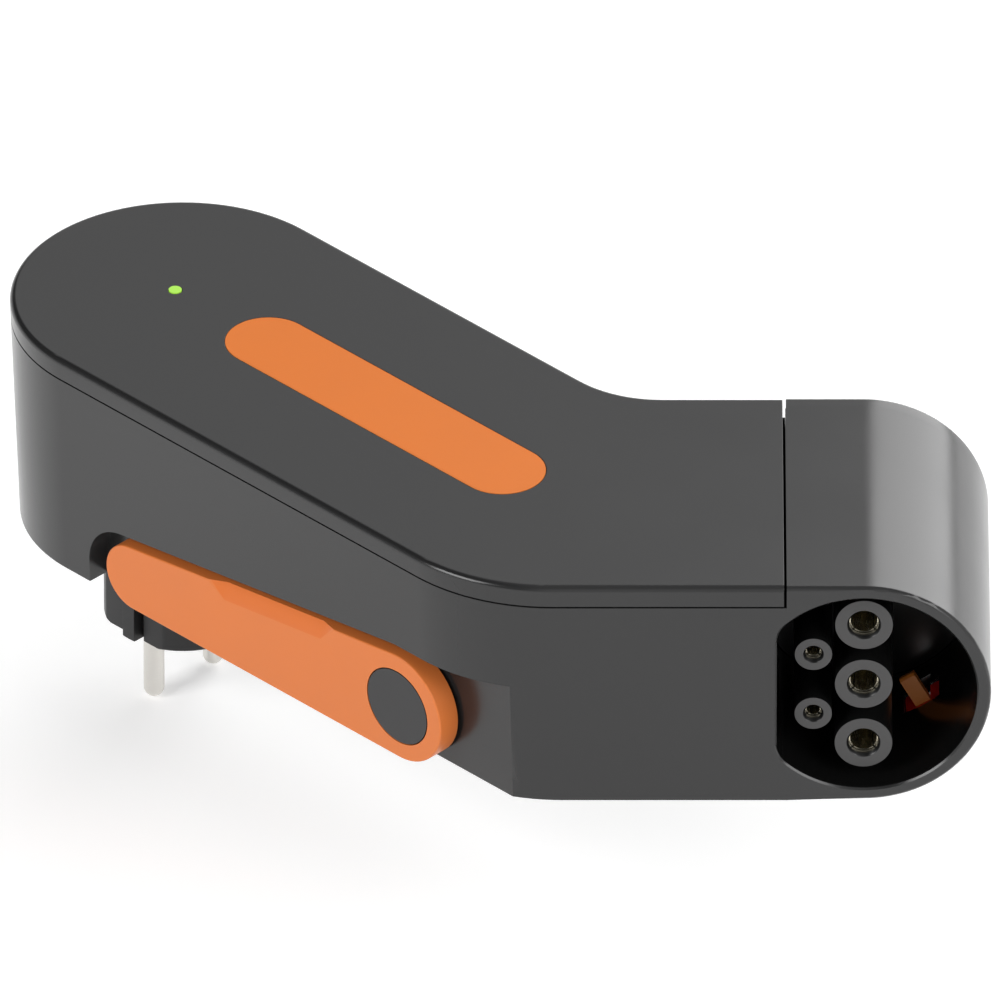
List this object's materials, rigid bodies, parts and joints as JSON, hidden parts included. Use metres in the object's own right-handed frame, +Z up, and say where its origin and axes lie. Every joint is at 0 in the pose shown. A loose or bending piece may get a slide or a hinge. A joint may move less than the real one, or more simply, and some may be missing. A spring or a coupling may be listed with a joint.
{
  "type": "electric car charger",
  "caption": "Compact car charging dock: earthed mains plug under a bent plastic body, type 2 charging socket in its head, and a swinging lever that folds the lock bolt.",
  "frame": {"origin": "centre of the mains plug's front face", "axes": "+X along the arm from the plug to the bend, +Z up from the plug's face to the lid, -Y to the side of the lever; the head turns 45 degrees from +X towards +Y"},
  "size_m": [0.2542, 0.1379, 0.1052],
  "materials": {
    "housing_plastic": "fine satin texture",
    "seal_rubber": "matt",
    "lamp_green": "glowing lens",
    "label_orange": "satin film",
    "screw_steel": "zinc plated",
    "pin_steel": "nickel plated",
    "contact_brass": "bright",
    "carrier_plastic": "fine satin texture",
    "guide_red": "satin",
    "bolt_orange": "satin",
    "lever_orange": "satin",
    "cap_black": "fine satin texture",
    "board_green": "solder resist",
    "relay_plastic": "smooth",
    "capacitor_sleeve": "smooth"
  },
  "bodies": {
    "body": {"housing": "housing_plastic", "top_lid": "housing_plastic", "lid_seal": "seal_rubber", "status_led": "lamp_green", "lid_label": "label_orange", "lid_screws": "screw_steel", "head_rear_cover": "housing_plastic", "rear_cover_screws": "screw_steel", "plug_body": "housing_plastic", "plug_screws": "screw_steel", "line_pin": "pin_steel", "neutral_pin": "pin_steel", "earth_clips": "contact_brass", "socket_insert": "carrier_plastic", "power_barrels": "carrier_plastic", "signal_barrels": "carrier_plastic", "insert_screws": "screw_steel", "line_contact": "contact_brass", "neutral_contact": "contact_brass", "earth_contact": "contact_brass", "pilot_contact": "contact_brass", "proximity_contact": "contact_brass", "lock_guide": "guide_red", "lock_pin": "screw_steel", "circuit_board": "board_green", "board_screws": "screw_steel", "power_module": "cap_black", "relays": "relay_plastic", "capacitors": "capacitor_sleeve", "current_sensor": "contact_brass"},
    "lever": {"lever": "lever_orange", "lever_shaft": "screw_steel", "shaft_clip": "screw_steel", "hub_cap": "housing_plastic", "lock_crank": "cap_black"},
    "bolt": {"lock_bolt": "bolt_orange"}
  },
  "joints": [
    {"name": "lever_swing", "type": "hinge", "parent": "body", "child": "lever", "pos_m": [0.1079, -0.03188, 0.0422], "axis": [0, -0.9998, -0.0209], "range_deg": [0, 90]},
    {"name": "bolt_fold", "type": "hinge", "parent": "body", "child": "bolt", "pos_m": [0.18369, 0.05501, 0.03462], "axis": [-0.5997, -0.5997, -0.5299], "range_deg": [0, 80]}
  ],
  "couplings": [
    {"joint": "bolt_fold", "follows": "lever_swing", "ratio": 0.8889}
  ]
}
